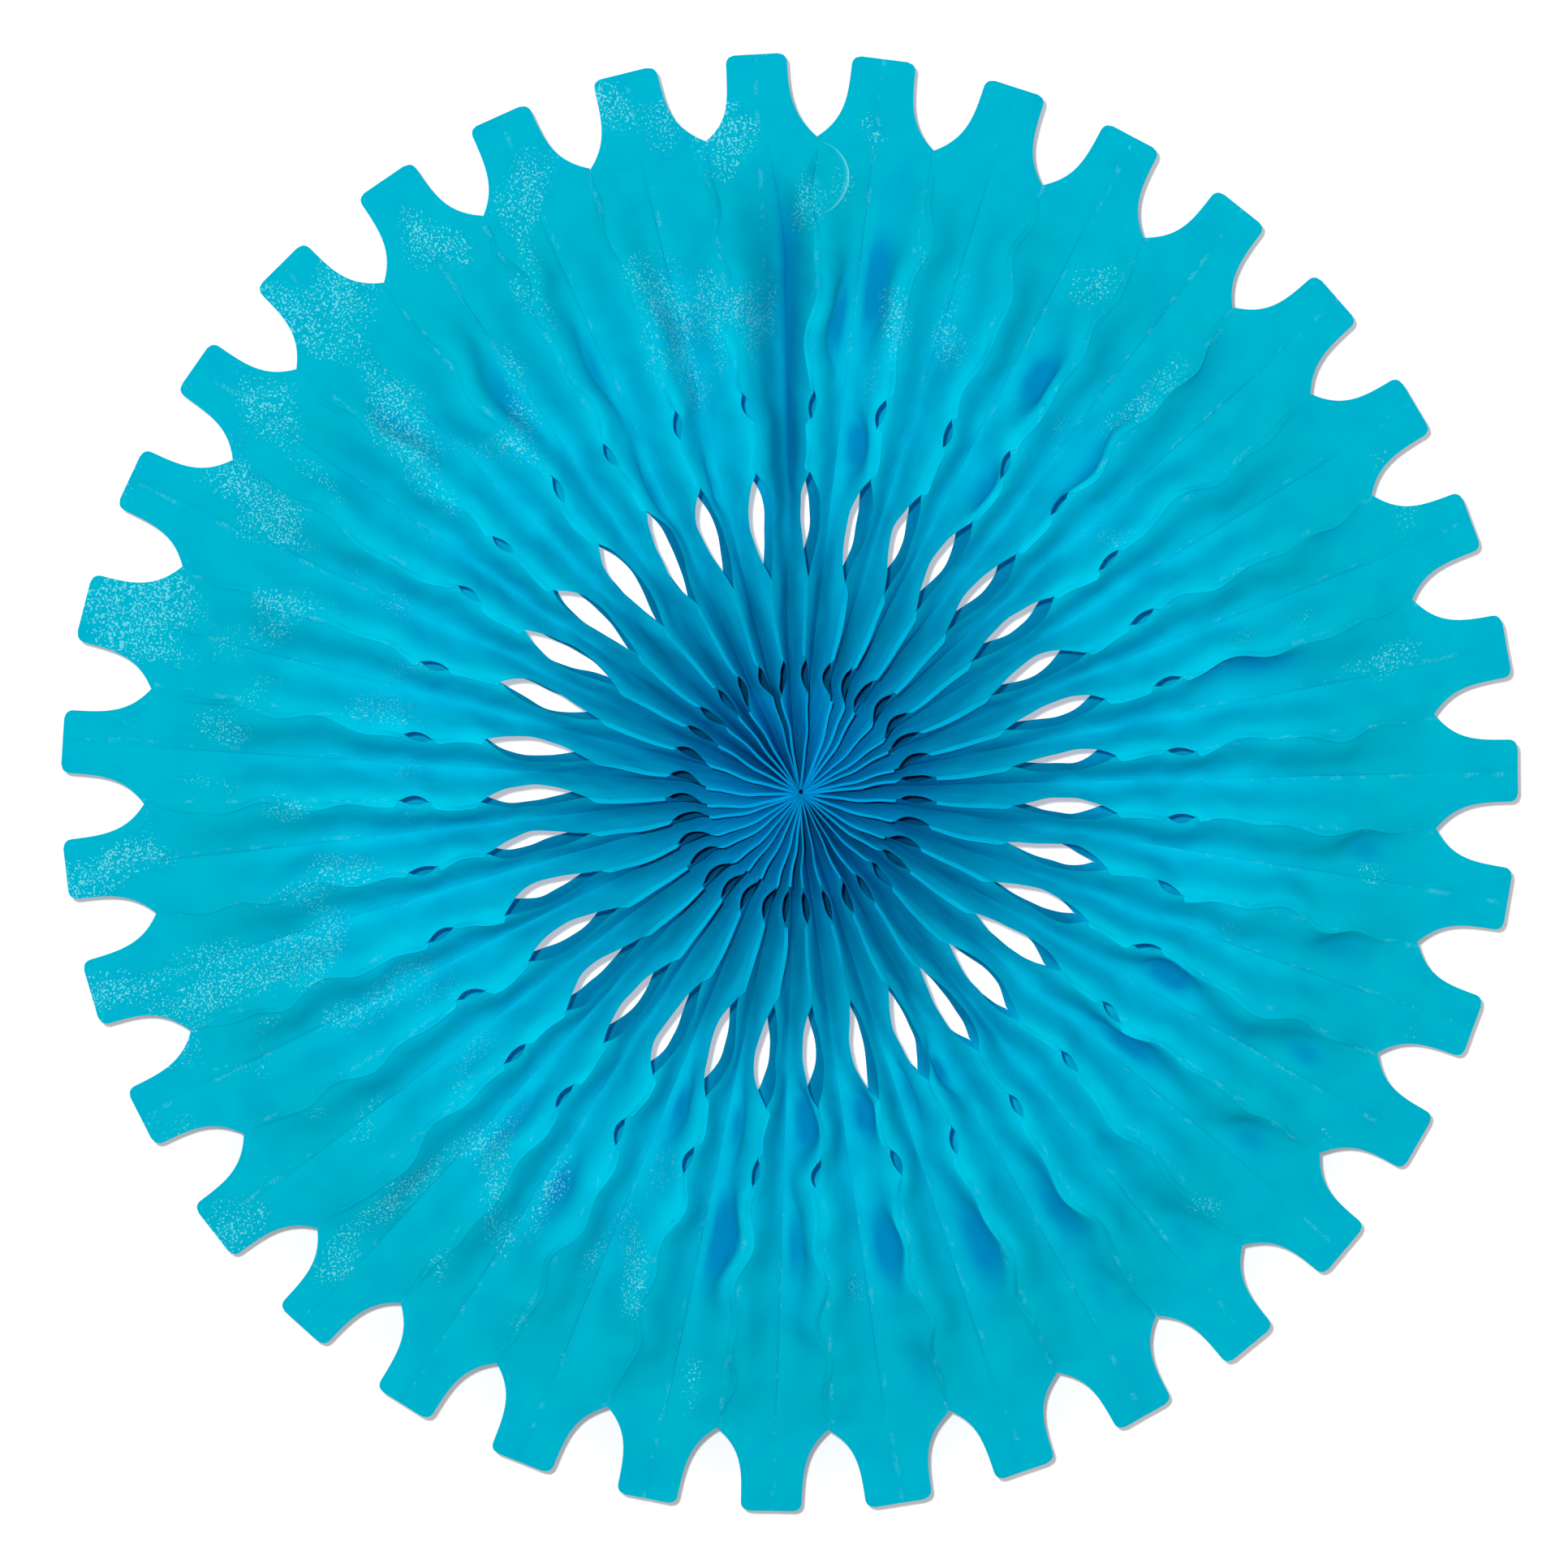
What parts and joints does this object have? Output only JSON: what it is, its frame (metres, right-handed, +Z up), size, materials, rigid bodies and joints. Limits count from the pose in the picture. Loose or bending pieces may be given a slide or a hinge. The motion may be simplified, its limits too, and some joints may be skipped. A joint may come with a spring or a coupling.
{
  "type": "paper fan medallion",
  "caption": "Round hanging decoration of die-cut tissue leaves glued alternately and opened into a full circle of pleated cells, with a toothed rim and rings of see-through cuts.",
  "frame": {"origin": "the centre of the fan, on its axis and halfway between front and back", "axes": "+Z up, the fan's axis along Y with the front facing -Y, +X to the right as the front is seen"},
  "size_m": [0.6352, 0.053, 0.6346],
  "materials": {
    "tissue": "matte, faintly speckled sheen",
    "tab_tissue": "matte"
  },
  "bodies": {
    "root": {"cell_01": "tissue", "cell_02": "tissue", "cell_03": "tissue", "cell_04": "tissue", "cell_05": "tissue", "cell_06": "tissue", "cell_07": "tissue", "cell_08": "tissue", "cell_09": "tissue", "cell_10": "tissue", "cell_11": "tissue", "cell_12": "tissue", "cell_13": "tissue", "cell_14": "tissue", "cell_15": "tissue", "cell_16": "tissue", "cell_17": "tissue", "cell_18": "tissue", "cell_19": "tissue", "cell_20": "tissue", "cell_21": "tissue", "cell_22": "tissue", "cell_23": "tissue", "cell_24": "tissue", "cell_25": "tissue", "cell_26": "tissue", "cell_27": "tissue", "cell_28": "tissue", "cell_29": "tissue", "cell_30": "tissue", "cell_31": "tissue", "cell_32": "tissue", "cell_33": "tissue", "cell_34": "tissue", "cell_35": "tissue", "closing_tab": "tab_tissue"}
  },
  "joints": []
}
